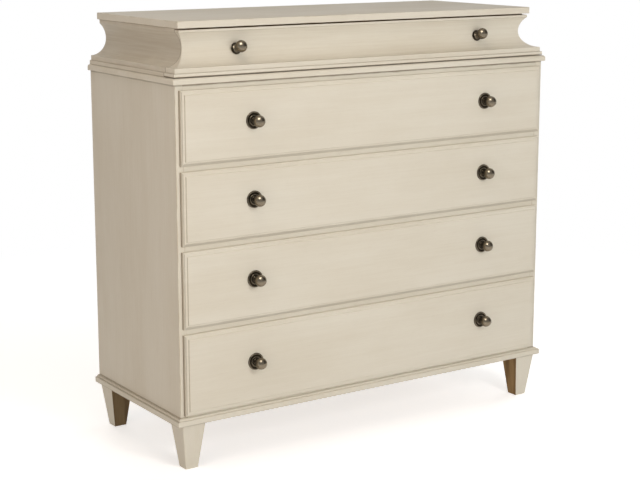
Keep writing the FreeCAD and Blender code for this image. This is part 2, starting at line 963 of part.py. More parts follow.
def coved_front():
    """The frieze drawer's front: the frieze moulding along its face and round both its ends."""
    outer = half_width + s.band_proud
    nose = front - s.band_proud
    low = s.frieze_gap_below
    high = s.frieze_height - s.frieze_gap_above
    depth = frieze_seam_depth + s.band_proud
    face = cove_blank("frieze_face", depth, low, high, 2 * outer)
    place(turn(face, (0, 0, 1), 90), outer, nose, waist_top)
    left = place(cove_blank("frieze_return", outer, low, high, depth), -outer, nose, waist_top)
    ends = fuse("frieze_returns", [left, mirror("frieze_return_copy", left)])
    moulding = common("frieze_front_moulding", face, ends)
    block = board(
        "frieze_front_block",
        mirrored_span(frieze_half - s.box_clearance),
        (frieze_seam, frieze_block_back),
        (waist_top + low, waist_top + high),
    )
    return fuse("frieze_front_whole", [moulding, block])


def make_frieze_drawer():
    """The shallow drawer behind the coved frieze, with knobs that tilt up out of the cove."""
    drawer = "frieze_drawer"
    tilt = s.frieze_knob_tilt
    low = waist_top + s.slide_gap
    high = low + s.frieze_box_height
    sockets = drawer_box(
        drawer,
        frieze_half,
        frieze_block_back,
        back - s.frieze_back_thickness - s.frieze_box_rear_gap,
        low,
        high,
        s.frieze_tail_count,
    )
    lifted_centre = (
        -s.frieze_knob_spacing / 2,
        front + s.fascia_inset + s.frieze_knob_lift * sine(tilt),
        waist_top + cove_middle + s.frieze_knob_lift * cosine(tilt),
    )
    seat = along_axis(lifted_centre, -s.cove_radius, tilt)
    recess = rod("frieze_knob_seat", (s.frieze_knob_foot + s.knob_seat_fit) / 2, s.cove_radius)
    stand_out(recess, seat, tilt)
    hole = rod("frieze_knob_hole", screw_hole, s.frieze_knob_grip + s.cove_radius)
    head = along_axis(seat, -s.frieze_knob_grip, tilt)
    stand_out(hole, head, tilt)
    pocket_depth = s.frieze_block_depth + s.screw_head
    pocket = rod("frieze_screw_pocket", (s.screw_head + s.screw_hole_fit) / 2, pocket_depth)
    stand_out(pocket, along_axis(seat, -s.frieze_knob_grip - pocket_depth, tilt), tilt)
    tools = list(sockets)
    for tool in (recess, hole, pocket):
        tools += hole_pair(tool.Name, tool)
    keep(cut(f"{drawer}_front_cut", coved_front(), tools), f"{drawer}_front")

    knob = knob_body(
        f"{drawer}_knob",
        s.frieze_knob_ball,
        s.frieze_knob_ball_height,
        s.frieze_knob_foot,
        s.frieze_knob_foot_thickness,
        s.frieze_knob_flare,
    )
    pair(drawer, "knobs", stand_out(knob, seat, tilt))
    screw = screw_body(f"{drawer}_screw", s.frieze_knob_grip)
    screw_start = along_axis(seat, -s.frieze_knob_grip - s.screw_head_height, tilt)
    pair(drawer, "knob_screws", stand_out(screw, screw_start, tilt))


# Whole chest


def make_chest():
    make_top()
    make_frieze_ends()
    make_waist()
    make_sides()
    make_back()
    make_rails()
    make_runners()
    foot_middle = half_width - s.foot_side_inset - s.foot_top / 2
    bolt_front = (-foot_middle + s.bolt_shift, front - s.foot_front_overhang + s.foot_top / 2)
    bolt_rear = (-foot_middle + s.bolt_shift, back - s.foot_top / 2)
    make_base(bolt_front, bolt_rear)
    make_feet(bolt_front, bolt_rear)
    make_frieze_drawer()
    for drawer in DRAWERS:
        make_drawer(drawer)
    doc.recompute()


def check_chest():
    """Stop if any feature failed or any sub-part has no valid solid."""
    failed = [obj.Name for obj in doc.Objects if {"Invalid", "Error"} & set(obj.State)]
    for node in nodes:
        shape = node.Shape
        if shape.isNull() or not shape.isValid() or not shape.Solids:
            failed.append(node.Label)
    if failed:
        raise RuntimeError(f"these did not build: {', '.join(failed)}")


def write_parts():
    os.makedirs("parts", exist_ok=True)
    for node in nodes:
        node.Shape.exportStep(f"parts/{node.Label}.step")


make_chest()
check_chest()
write_parts()
print(f"{len(nodes)} sub-parts written")
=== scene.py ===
import math

import bpy
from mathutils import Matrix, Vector


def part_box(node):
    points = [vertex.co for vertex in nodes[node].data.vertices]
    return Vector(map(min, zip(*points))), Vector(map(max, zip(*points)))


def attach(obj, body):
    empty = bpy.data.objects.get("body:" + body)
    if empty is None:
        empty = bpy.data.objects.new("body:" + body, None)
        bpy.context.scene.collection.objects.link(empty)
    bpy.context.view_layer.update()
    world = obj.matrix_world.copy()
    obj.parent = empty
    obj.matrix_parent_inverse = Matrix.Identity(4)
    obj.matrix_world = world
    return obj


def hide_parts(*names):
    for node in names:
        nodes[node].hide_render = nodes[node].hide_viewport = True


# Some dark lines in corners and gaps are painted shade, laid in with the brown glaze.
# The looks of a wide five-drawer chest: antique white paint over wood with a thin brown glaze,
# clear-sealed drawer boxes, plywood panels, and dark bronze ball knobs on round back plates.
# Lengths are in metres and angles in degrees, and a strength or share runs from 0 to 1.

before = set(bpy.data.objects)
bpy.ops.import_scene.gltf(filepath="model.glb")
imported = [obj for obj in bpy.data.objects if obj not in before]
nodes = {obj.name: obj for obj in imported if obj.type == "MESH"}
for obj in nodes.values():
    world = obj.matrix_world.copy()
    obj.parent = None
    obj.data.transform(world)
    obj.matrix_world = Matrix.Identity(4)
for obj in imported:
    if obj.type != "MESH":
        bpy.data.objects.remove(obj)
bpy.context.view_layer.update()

LIPPED_DRAWERS = ("drawer_1", "drawer_2", "drawer_3", "drawer_4")
LOWEST_DRAWER = LIPPED_DRAWERS[-1]
ALL_DRAWERS = LIPPED_DRAWERS + ("frieze_drawer",)
FEET = ("foot_front_left", "foot_front_right", "foot_back_left", "foot_back_right")
RAILS = ("top_rail", "drawer_rails", "bottom_rail")

# Places on the chest that the finishes follow.
FRONT_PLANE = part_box("side_panel_left")[0].y
CASE_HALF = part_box("side_panel_right")[1].x
CASE_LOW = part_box("side_panel_left")[0].z
WAIST_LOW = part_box("waist_board")[0].z
WAIST_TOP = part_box("waist_board")[1].z
BASE_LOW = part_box("base_front")[0].z
BASE_BEAD = BASE_LOW + 0.0125
FRIEZE_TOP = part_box("top_board")[0].z
FRIEZE_LEDGE = FRIEZE_TOP - 0.006
FRIEZE_SEAM = FRONT_PLANE + 0.045
COVE_MIDDLE = WAIST_TOP + 0.061

# Rooms inside the chest, whose faces get no paint: (half width, front, low, high).
BARE_ROOMS = (
    (CASE_HALF - 0.016, FRONT_PLANE + 0.012, CASE_LOW, WAIST_LOW),
    (0.469, FRONT_PLANE + 0.059, WAIST_TOP - 0.001, FRIEZE_TOP + 0.001),
    (CASE_HALF - 0.012, FRONT_PLANE + 0.010, BASE_LOW - 0.001, CASE_LOW),
)

# A room takes in its own floor and ceiling by the slack. Paint strays into it and then stops.
ROOM_SLACK = 0.0005
PAINT_STRAY = 0.004
PAINT_STOP = 0.0004

# Widths over which bare wood sets in above a ledge and behind a plane.
LEDGE_STOP = 0.0005
PLANE_STOP = 0.0003

# Colours, as linear red, green and blue.
PAINT = (0.708, 0.668, 0.568, 1)
PAINT_THIN = (0.672, 0.624, 0.518, 1)
PAINT_PALE = (0.752, 0.716, 0.618, 1)
# Brown of the glaze in corners, also used as painted shade under lips, under the waist and in gaps.
GLAZE_AND_SHADE_BROWN = (0.160, 0.120, 0.074, 1)
GLAZE_THIN = (0.470, 0.385, 0.270, 1)
BARE_WOOD = (0.500, 0.345, 0.190, 1)
BARE_WOOD_DARK = (0.345, 0.215, 0.105, 1)
# Brown stain on the inner faces of the feet, darkened further as painted shade under the chest.
FRONT_FOOT_STAIN_AND_SHADE = (0.350, 0.226, 0.100, 1)
FRONT_FOOT_STAIN_AND_SHADE_DARK = (0.224, 0.137, 0.057, 1)
BACK_FOOT_STAIN_AND_SHADE = (0.215, 0.155, 0.082, 1)
BACK_FOOT_STAIN_AND_SHADE_DARK = (0.140, 0.095, 0.048, 1)
MAPLE = (0.610, 0.430, 0.245, 1)
MAPLE_DARK = (0.420, 0.262, 0.125, 1)
BIRCH = (0.640, 0.480, 0.300, 1)
BIRCH_DARK = (0.470, 0.325, 0.180, 1)
PLY_GLUE = (0.200, 0.115, 0.055, 1)
BRONZE_RUBBED = (0.225, 0.188, 0.137, 1)
BRONZE_BODY = (0.120, 0.097, 0.066, 1)
BRONZE_DARK = (0.030, 0.023, 0.014, 1)
ZINC = (0.560, 0.560, 0.545, 1)
ZINC_DULL = (0.330, 0.325, 0.310, 1)
WHITE = (1, 1, 1, 1)

# Turns that lay a board's grain along the X axis of its pattern, in radians.
GRAIN_TURNS = {
    "X": (0, 0, 0),
    "Y": (0, 0, -math.pi / 2),
    "Z": (0, math.pi / 2, 0),
}

# Marks per metre in the wood and the paint, with the grain along X.
STREAK_MARKS = (5, 170, 170)
FIBRE_MARKS = (18, 900, 900)
PORE_MARKS = (45, 1300, 1300)
CLOUD_MARKS = (3, 11, 11)
BRUSH_MARKS = (9, 420, 420)
RING_WANDER_MARKS = (2.2, 9, 9)
GLAZE_AND_SHADE_PATCHES = 22
RUB_PATCHES = 16
STRAY_PATCHES = 26
BRONZE_BLOTCHES = 160
BRONZE_SPECKS = 900
ZINC_CLOUDS = 420

# Growth rings: how many per metre across and through a board, how many rings they wander by, and
# how narrow their dark part is.
RINGS_ACROSS = 34.0
RINGS_THROUGH = 21.0
RING_WANDER = 3.4
RING_SHARPNESS = 1.6

# Roughness of each finish before its pattern changes it, and the gloss and streaks of the paint.
PAINT_ROUGHNESS = 0.54
WOOD_ROUGHNESS = 0.40
PLY_ROUGHNESS = 0.48
BRONZE_ROUGHNESS = 0.42
ZINC_ROUGHNESS = 0.22
PAINT_GLOSS = 0.26
PAINT_STREAKS = 0.07

# Layers in a plywood panel, and how far the grain moves on from one drawer front to the next.
PLIES = 5
DRAWER_SHIFT = (0.37, 0.11, 0.53)

# Rubbed edges: their usual width, a thin board's width, and the least width that is left.
RUB_WIDTH = 0.003
THIN_RUB_WIDTH = 0.002
LEAST_RUB = 0.0002

# A glaze and painted shade line's least reach, as a share of its width, and the share of its reach
# that is full.
LEAST_GLAZE_AND_SHADE = 0.55
FULL_GLAZE_AND_SHADE = 0.25

# How squarely a face has to look one way for its mask to rise from none to full.
SQUARE_ON = (0.80, 0.95)
TURNED_INWARD = (0.60, 0.80)
TURNED_BACK = (0.60, 0.90)

# Glaze and painted shade round a lipped front, by edge: (distance in from the edge, width of the
# line, strength).
# The ends and the foot take painted shade, and the top is left clear, as it catches the light.
STEP_GLAZE_AND_SHADE = {
    "ends": ((0.0006, 0.0015, 0.44), (0.0033, 0.0013, 0.38), (0.0097, 0.0013, 0.34)),
    "top": (),
    "foot": ((0.0036, 0.0042, 0.38), (0.0097, 0.0013, 0.08)),
}
LOWEST_STEP_GLAZE_AND_SHADE = {**STEP_GLAZE_AND_SHADE, "foot": ()}

# Glaze and painted shade where the lip meets the case: how far forward it reaches, and its
# strength by edge, darkest down the ends that sit in shade. The edges meet over the blend.
LIP_CORNER = 0.0050
LIP_CORNER_GLAZE_AND_SHADE = {"ends": 0.95, "top": 0.0, "foot": 0.05}
MITRE_BLEND = 0.0005

# Glaze and painted shade along level corners: (height, width of the line, strength).
# Painted shadow under the waist's nose, on the rail below it.
RAIL_SHADOW_LEVELS = ((WAIST_LOW, 0.0052, 0.75),)
# Glaze in the frieze's corners, and painted shade in the gaps over the waist and under the top.
FRIEZE_GLAZE_AND_SHADE_LEVELS = (
    (WAIST_TOP, 0.0022, 0.55),
    (WAIST_TOP + 0.010, 0.0014, 0.28),
    (FRIEZE_TOP - 0.009, 0.0014, 0.18),
    (FRIEZE_TOP, 0.0024, 0.60),
)
# The frieze front adds a heavier painted shadow in the gap above the waist.
FRIEZE_FRONT_GLAZE_AND_SHADE_LEVELS = FRIEZE_GLAZE_AND_SHADE_LEVELS + ((WAIST_TOP + 0.0015, 0.0024, 0.85),)
BASE_FRONT_LEVELS = ((BASE_LOW, 0.0020, 0.30), (BASE_BEAD, 0.0013, 0.05))
BASE_LEVELS = ((BASE_LOW, 0.0020, 0.30), (BASE_BEAD, 0.0013, 0.38), (CASE_LOW, 0.0016, 0.40))
WAIST_LEVELS = ((WAIST_LOW, 0.0016, 0.40), (WAIST_TOP, 0.0010, 0.20))
# Glaze above the base, and painted shadow under the waist's nose.
SIDE_GLAZE_AND_SHADOW_LEVELS = ((CASE_LOW, 0.0030, 0.50), (WAIST_LOW, 0.0050, 0.45))
# Painted shadow under the base moulding, along the top of each foot.
FOOT_SHADOW_LEVELS = ((BASE_LOW, 0.0036, 0.80),)
# A broad darkening of the cove's middle: glaze, and painted shade under the top's overhang.
COVE_GLAZE_AND_SHADE = ((COVE_MIDDLE, 0.060, 0.20),)

# Glaze down the frieze's seams: (width of the line, strength).
SEAM_GLAZE = (0.0018, 0.55)

# Knobs: radii, and heights above the face that they sit on. A foot is given as (radius, thickness,
# flare into the neck). Wear is how far the dark finish is rubbed off.
KNOB_NECK = 0.0048
KNOB_COLLAR = 0.0009
KNOB_FOOT = (0.0070, 0.0012, 0.0017)
KNOB_FOOT_WEAR = 0.15
FOOT_ROUND_SHARE = 0.35
BALL_WEAR = 0.95
BALL_WEAR_BAND = 0.55
FRIEZE_KNOB_FOOT = (0.01325, 0.0020, 0.0058)
FRIEZE_KNOB_FOOT_WEAR = 0.70
FRIEZE_KNOB_TILT = 16
FRIEZE_KNOB_HEIGHT = 0.0245
FRIEZE_KNOB_SPREAD = 0.348

# Back plates: a raised rim with a cove inside it, a floor with a bead, and a boss in the middle.
PLATE_FLOOR = 0.0018
PLATE_FLOOR_WEAR = 0.10
RIM_WEAR = 0.90
RIM_HEIGHT = 0.0034
RIM_ROUND = 0.0016
RIM_COVE = 0.0016
RIM_COVE_INSET = 0.0052
RIM_COVE_LIFT = 0.0007
BEAD = 0.0014
BEAD_PLACE = 0.0112
BOSS = 0.00725
BOSS_HEIGHT = 0.0030
BOSS_ROUND = 0.0004
BOSS_SPLAY = 0.0007

# Turning.
TURNING_STEPS = 72
CREASE_ANGLE = 40
MERGE_DISTANCE = 0.000002

# Camera, with its lens and film in millimetres.
CAMERA_PLACE = (-2.0865, -3.0649, 1.2283)
CAMERA_DIP = 11.205
CAMERA_TURN = -33.94
CAMERA_LENS = 85.0
CAMERA_FILM = 36.0
CAMERA_SHIFT = -0.03

# Floor: its own grey, how far it is lifted towards white, and where it fades to white.
FLOOR_RADIUS = 30
FLOOR_SIDES = 96
FLOOR_GREY = (0.82, 0.82, 0.82, 1)
FLOOR_LIFT = 0.55
FLOOR_FADE = (0.9, 2.2)

# The room round the stage: its light from low to high, what metal mirrors of it, the side that is
# dim in the metal, and the edge of the white backdrop.
ROOM_LOW = (0.15, 0.145, 0.14, 1)
ROOM_HIGH = (0.26, 0.24, 0.22, 1)
ROOM_RISE = (-0.2, 0.9)
MIRRORED_ROOM = (0.50, 0.50, 0.50, 1)
MIRRORED_DIM = (0.08, 0.08, 0.08, 1)
DIM_SIDE = (0.2, 0.8)
BACKDROP_EDGE = (-0.25, 0.25)

# Lamp colours, and where the lamps aim.
WARM_ABOVE = (1.0, 0.86, 0.72)
WARM_SIDE = (1.0, 0.86, 0.76)
CHEST_MIDDLE = (0, 0, 0.5)
DRAWERS_MIDDLE = (0, -0.2, 0.6)


# Node benches


class Bench:
    """Sets out the nodes of one tree and joins their sockets."""

    def __init__(self, tree):
        self.tree = tree

    def feed(self, socket, value):
        """Link a socket to another one, or set its value."""
        if isinstance(value, bpy.types.NodeSocket):
            self.tree.links.new(value, socket)
        else:
            socket.default_value = value

    def add(self, kind, inputs=None, **settings):
        """Place a node, with its settings, and its inputs by name or number."""
        node = self.tree.nodes.new(f"ShaderNode{kind}")
        for name, value in settings.items():
            setattr(node, name, value)
        for name, value in (inputs or {}).items():
            self.feed(node.inputs[name], value)
        return node

    def use(self, group, inputs):
        """Place a node group and return its outputs by name."""
        return self.add("Group", inputs, node_tree=group).outputs

    def math(self, operation, first, second=0.0, third=0.0):
        node = self.add("Math", {0: first, 1: second, 2: third}, operation=operation)
        return node.outputs[0]

    def vector(self, operation, first, second=(0, 0, 0)):
        return self.add("VectorMath", {0: first, 1: second}, operation=operation).outputs[0]

    def split(self, vector):
        return self.add("SeparateXYZ", {0: vector}).outputs

    def ease(self, value, low, high):
        """Rise smoothly from 0 at low to 1 at high; with low above high it falls instead."""
        node = self.add(
            "MapRange",
            {"Value": value, "From Min": low, "From Max": high},
            interpolation_type="SMOOTHSTEP",
        )
        return node.outputs[0]

    def mix(self, factor, first, second):
        node = self.add("Mix", {0: factor, 6: first, 7: second}, data_type="RGBA")
        return node.outputs[2]

    def tint(self, colour, tone, mask, strength):
        """Lay a tone over a colour where a mask is, at part strength."""
        return self.mix(self.math("MULTIPLY", mask, strength), colour, tone)

    def build_up(self, base, *layers):
        """Add layers to a base value, each given with its weight."""
        for layer, weight in layers:
            base = self.math("MULTIPLY_ADD", layer, weight, base)
        return base

    def noise(self, vector, scale, detail, rough=0.55):
        node = self.add(
            "TexNoise", {"Vector": vector, "Scale": scale, "Detail": detail, "Roughness": rough}
        )
        return node.outputs[0]

    def drawn_noise(self, along, marks, detail, rough=0.55):
        """Noise drawn out along the grain, with its marks per metre on each axis."""
        return self.noise(self.vector("MULTIPLY", along, marks), 1, detail, rough)

    def pick(self, operation, values):
        result, *others = values
        for value in others:
            result = self.math(operation, result, value)
        return result

    def largest(self, *values):
        return self.pick("MAXIMUM", values)

    def smallest(self, *values):
        return self.pick("MINIMUM", values)


def effect(name, inputs, outputs):
    """Start a shader node group. Returns the group, its bench, and its input and output sockets."""
    group = bpy.data.node_groups.new(name, "ShaderNodeTree")
    for label, (kind, default) in inputs.items():
        socket = group.interface.new_socket(
            label, in_out="INPUT", socket_type=f"NodeSocket{kind}"
        )
        socket.default_value = default
    for label, kind in outputs.items():
        group.interface.new_socket(label, in_out="OUTPUT", socket_type=f"NodeSocket{kind}")
    start = group.nodes.new("NodeGroupInput").outputs
    end = group.nodes.new("NodeGroupOutput").inputs
    return group, Bench(group), start, end


# Effects that several finishes share


def make_wood_grain():
    """Streaks, fibres, pores and growth rings of a board whose grain runs along X."""
    group, bench, start, end = effect(
        "wood grain",
        {"Along": ("Vector", (0, 0, 0))},
        {"Streaks": "Float", "Fibres": "Float", "Pores": "Float", "Rings": "Float"},
    )
    along = start["Along"]
    streaks = bench.drawn_noise(along, STREAK_MARKS, detail=4, rough=0.62)
    fibres = bench.drawn_noise(along, FIBRE_MARKS, detail=2)
    pores = bench.drawn_noise(along, PORE_MARKS, detail=1)
    wander = bench.drawn_noise(along, RING_WANDER_MARKS, detail=3)
    at = bench.split(along)
    rings = bench.build_up(
        0.0, (at["Y"], RINGS_ACROSS), (at["Z"], RINGS_THROUGH), (wander, RING_WANDER)
    )
    ring_wave = bench.math("SINE", bench.math("MULTIPLY", rings, 2 * math.pi))
    bench.feed(end["Streaks"], bench.ease(streaks, low=0.32, high=0.70))
    bench.feed(end["Fibres"], fibres)
    bench.feed(end["Pores"], bench.ease(pores, low=0.60, high=0.72))
    bench.feed(end["Rings"], bench.math("POWER", bench.ease(ring_wave, -1, 1), RING_SHARPNESS))
    return group


def make_glaze_and_shade_line():
    """A dark line in an inner corner, of glaze and painted shade: full on the line, fading unevenly
    on both sides.
    """
    group, bench, start, end = effect(
        "glaze and shade line",
        {
            "Distance": ("Float", 0),
            "Width": ("Float", 0.001),
            "Place": ("Vector", (0, 0, 0)),
        },
        {"Mask": "Float"},
    )
    away = bench.math("ABSOLUTE", start["Distance"])
    patchy = bench.noise(start["Place"], GLAZE_AND_SHADE_PATCHES, detail=3)
    reach = bench.math("MULTIPLY", start["Width"], bench.math("ADD", patchy, LEAST_GLAZE_AND_SHADE))
    bench.feed(end["Mask"], bench.ease(bench.math("DIVIDE", away, reach), 1.0, FULL_GLAZE_AND_SHADE))
    return group


def make_board_edge():
    """Where a box-shaped board's edges are rubbed. Place is measured from the board's middle."""
    group, bench, start, end = effect(
        "board edge",
        {
            "Place": ("Vector", (0, 0, 0)),
            "Half Size": ("Vector", (1, 1, 1)),
            "Width": ("Float", RUB_WIDTH),
        },
        {"Mask": "Float"},
    )
    away = bench.vector("ABSOLUTE", start["Place"])
    depth = bench.split(bench.vector("SUBTRACT", start["Half Size"], away))
    total = bench.math("ADD", bench.math("ADD", depth["X"], depth["Y"]), depth["Z"])
    to_edge = bench.math("SUBTRACT", total, bench.largest(depth["X"], depth["Y"], depth["Z"]))
    patchy = bench.noise(start["Place"], RUB_PATCHES, detail=4, rough=0.65)
    reach = bench.build_up(LEAST_RUB, (start["Width"], bench.ease(patchy, low=0.36, high=0.72)))
    bench.feed(end["Mask"], bench.ease(bench.math("DIVIDE", to_edge, reach), 1.0, 0.2))
    return group


def make_inner_faces():
    """Faces inside the carcass, inside the frieze and under the chest, which get no paint."""
    group, bench, start, end = effect(
        "inner faces", {"Place": ("Vector", (0, 0, 0))}, {"Mask": "Float"}
    )
    at = bench.split(start["Place"])
    sideways = bench.math("ABSOLUTE", at["X"])
    patchy = bench.noise(start["Place"], STRAY_PATCHES, detail=2)
    uneven = bench.math("MULTIPLY", patchy, PAINT_STRAY)
    masks = []
    for half_width, front, low, high in BARE_ROOMS:
        across = bench.math("SUBTRACT", half_width, sideways)
        behind = bench.math("SUBTRACT", bench.math("SUBTRACT", at["Y"], front), uneven)
        above = bench.math("SUBTRACT", at["Z"], low - ROOM_SLACK)
        below = bench.math("SUBTRACT", high + ROOM_SLACK, at["Z"])
        masks.append(bench.ease(bench.smallest(across, behind, above, below), 0, PAINT_STOP))
    bench.feed(end["Mask"], bench.largest(*masks))
    return group


def make_antique_paint(wood_grain):
    """Thin white paint brushed along the grain, with glaze and painted shade in the recesses and
    bare wood inside.
    """
    group, bench, start, end = effect(
        "antique paint",
        {
            "Along": ("Vector", (0, 0, 0)),
            "Glaze And Shade": ("Float", 0),
            "Rub": ("Float", 0),
            "Bare": ("Float", 0),
            "Streak Strength": ("Float", PAINT_STREAKS),
            "Wood": ("Color", BARE_WOOD),
            "Wood Dark": ("Color", BARE_WOOD_DARK),
        },
        {"Color": "Color", "Roughness": "Float", "Height": "Float"},
    )
    along = start["Along"]
    grain = bench.use(wood_grain, {"Along": along})
    cloud = bench.ease(bench.drawn_noise(along, CLOUD_MARKS, detail=3), low=0.3, high=0.7)
    brush = bench.drawn_noise(along, BRUSH_MARKS, detail=2)

    colour = bench.mix(cloud, PAINT_THIN, PAINT)
    colour = bench.tint(colour, PAINT_PALE, brush, strength=0.3)
    colour = bench.tint(colour, GLAZE_THIN, grain["Streaks"], start["Streak Strength"])
    colour = bench.tint(colour, GLAZE_THIN, grain["Pores"], strength=0.12)
    # Glaze and painted shade darken the paint where the recess mask is.
    colour = bench.mix(start["Glaze And Shade"], colour, GLAZE_AND_SHADE_BROWN)
    colour = bench.tint(colour, GLAZE_THIN, start["Rub"], strength=0.55)
    wood = bench.mix(grain["Rings"], start["Wood"], start["Wood Dark"])
    wood = bench.tint(wood, start["Wood Dark"], grain["Streaks"], strength=0.35)
    colour = bench.mix(start["Bare"], colour, wood)

    roughness = bench.build_up(
        PAINT_ROUGHNESS, (cloud, -0.07), (grain["Streaks"], 0.06), (start["Glaze And Shade"], 0.12),
        (start["Bare"], 0.18),
    )
    height = bench.build_up(0.0, (brush, 0.6), (grain["Fibres"], 0.4), (grain["Pores"], -0.5))
    bench.feed(end["Color"], colour)
    bench.feed(end["Roughness"], roughness)
    bench.feed(end["Height"], height)
    return group


wood_grain = make_wood_grain()
glaze_and_shade_line = make_glaze_and_shade_line()
board_edge = make_board_edge()
inner_faces = make_inner_faces()
antique_paint = make_antique_paint(wood_grain)


# Finishes


def middle_and_half(node):
    """The middle of a node's box, and half its size."""
    low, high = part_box(node)
    return (low + high) / 2, (high - low) / 2


def new_material(name):
    material = bpy.data.materials.new(name)
    material.use_nodes = True
    material.node_tree.nodes.clear()
    return material, Bench(material.node_tree)


def finish_with(bench, sockets):
    """Close a material with one shader, whose sockets are given by name."""
    shader = bench.add("BsdfPrincipled", sockets)
    bench.add("OutputMaterial", {"Surface": shader.outputs[0]})


def lay_grain(bench, place, grain, shift=(0, 0, 0)):
    """Turn a place on the piece so that X runs along its grain, and shift it within the wood."""
    turned = bench.add("Mapping", {"Vector": place, "Rotation": GRAIN_TURNS[grain]})
    return bench.vector("ADD", turned.outputs[0], shift)


def bump(bench, height, depth, strength):
    node = bench.add("Bump", {"Strength": strength, "Distance": depth, "Height": height})
    return node.outputs["Normal"]


def painted(
    name, grain, glaze_and_shade=None, rub=None, bare=None, streaks=PAINT_STREAKS, shift=(0, 0, 0),
    wood=None,
):
    """Antique paint. The glaze and painted shade, rub and bare arguments each draw a mask from the
    place and the facing.
    """
    material, bench = new_material(name)
    coordinates = bench.add("TexCoord").outputs
    place = coordinates["Object"]
    facing = coordinates["Normal"]
    inputs = {"Along": lay_grain(bench, place, grain, shift), "Streak Strength": streaks}
    if wood:
        inputs["Wood"], inputs["Wood Dark"] = wood
    for label, draw in (("Glaze And Shade", glaze_and_shade), ("Rub", rub), ("Bare", bare)):
        if draw:
            inputs[label] = draw(bench, place, facing)
    film = bench.use(antique_paint, inputs)
    finish_with(bench, {
        "Base Color": film["Color"],
        "Roughness": film["Roughness"],
        "Specular IOR Level": PAINT_GLOSS,
        "Normal": bump(bench, film["Height"], depth=0.00025, strength=0.25),
    })
    return material


def glaze_and_shade_mark(bench, place, distance, width, strength):
    """One dark line along the corner where the distance is nought, used for both glaze and painted
    shade.
    """
    mask = bench.use(glaze_and_shade_line, {"Distance": distance, "Width": width, "Place": place})["Mask"]
    return bench.math("MULTIPLY", mask, strength)


def glaze_and_shade_at_levels(levels):
    """Glaze and painted shade along level corner lines, given as (height, width, strength)."""

    def draw(bench, place, facing):
        height = bench.split(place)["Z"]
        marks = []
        for level, width, strength in levels:
            distance = bench.math("SUBTRACT", height, level)
            marks.append(glaze_and_shade_mark(bench, place, distance, width, strength))
        return bench.largest(*marks)

    return draw


def glaze_and_shade_round_steps(middle, half_width, half_height, back, steps):
    """Glaze and painted shade along the steps round a drawer front, heaviest down its ends and
    along its foot, where shade falls.
    """

    def draw(bench, place, facing):
        at = bench.split(bench.vector("SUBTRACT", place, middle))
        inset = {
            "ends": bench.math("SUBTRACT", half_width, bench.math("ABSOLUTE", at["X"])),
            "top": bench.math("SUBTRACT", half_height, at["Z"]),
            "foot": bench.math("ADD", half_height, at["Z"]),
        }
        # Painted shade and glaze in the corner where the lip meets the case.
        corner = bench.ease(at["Y"], back - LIP_CORNER, back - LIP_CORNER / 5)
        marks = []
        for edge, near in inset.items():
            others = [far for other, far in inset.items() if other != edge]
            lead = bench.math("SUBTRACT", bench.smallest(*others), near)
            here = bench.ease(lead, -MITRE_BLEND, MITRE_BLEND)
            lines = [bench.math("MULTIPLY", corner, LIP_CORNER_GLAZE_AND_SHADE[edge])]
            for step, width, strength in steps[edge]:
                distance = bench.math("SUBTRACT", near, step)
                lines.append(glaze_and_shade_mark(bench, place, distance, width, strength))
            marks.append(bench.math("MULTIPLY", bench.largest(*lines), here))
        return bench.largest(*marks)

    return draw


def rubbed_edges(node, width=RUB_WIDTH):
    """Wear along the edges of a board's box."""
    middle, half = middle_and_half(node)

    def draw(bench, place, facing):
        sockets = {
            "Place": bench.vector("SUBTRACT", place, tuple(middle)),
            "Half Size": tuple(half),
            "Width": width,
        }
        return bench.use(board_edge, sockets)["Mask"]

    return draw


def bare_inside(bench, place, facing):
    """Bare wood inside the rooms of the chest."""
    return bench.use(inner_faces, {"Place": place})["Mask"]


def facing_along(axis, towards, above=-1.0):
    """The faces of a piece that look one way along an axis, from a height up."""

    def draw(bench, place, facing):
        along = bench.math("MULTIPLY", bench.split(facing)[axis], towards)
        high = bench.ease(bench.split(place)["Z"], above, above + LEDGE_STOP)
        return bench.math("MULTIPLY", bench.ease(along, *SQUARE_ON), high)

    return draw


def glaze_at_seam(bench, place, facing):
    """Glaze along the joint between the coved ends and the coved drawer front."""
    distance = bench.math("SUBTRACT", bench.split(place)["Y"], FRIEZE_SEAM)
    return glaze_and_shade_mark(bench, place, distance, *SEAM_GLAZE)


def combined(*draws):
    """Several masks as one."""

    def draw(bench, place, facing):
        return bench.largest(*(each(bench, place, facing) for each in draws))

    return draw


def foot_paint(node):
    """Paint on the outer faces of a foot; brown stained wood on the faces that look under the
    chest, darkened as painted shade.
    """
    middle = middle_and_half(node)[0]
    inward = (-math.copysign(1, middle.x), -math.copysign(1, middle.y))
    # The back feet sit deeper in the shade under the chest, so their brown is painted darker.
    if middle.y < 0:
        stain_and_shade = (FRONT_FOOT_STAIN_AND_SHADE, FRONT_FOOT_STAIN_AND_SHADE_DARK)
    else:
        stain_and_shade = (BACK_FOOT_STAIN_AND_SHADE, BACK_FOOT_STAIN_AND_SHADE_DARK)

    def bare(bench, place, facing):
        way = bench.split(facing)
        to_middle = bench.largest(
            bench.math("MULTIPLY", way["X"], inward[0]),
            bench.math("MULTIPLY", way["Y"], inward[1]),
        )
        return bench.ease(to_middle, *TURNED_INWARD)

    return painted(
        f"paint_{node}", "Z", glaze_and_shade=glaze_and_shade_at_levels(FOOT_SHADOW_LEVELS), bare=bare, streaks=0.04,
        shift=tuple(middle), wood=stain_and_shade,
    )


def bare_behind(depth):
    """Bare wood on everything further back than a plane, and on the faces that look back."""

    def draw(bench, place, facing):
        behind = bench.ease(bench.split(place)["Y"], depth, depth + PLANE_STOP)
        looks_back = bench.ease(bench.split(facing)["Y"], *TURNED_BACK)
        return bench.largest(behind, looks_back)

    return draw


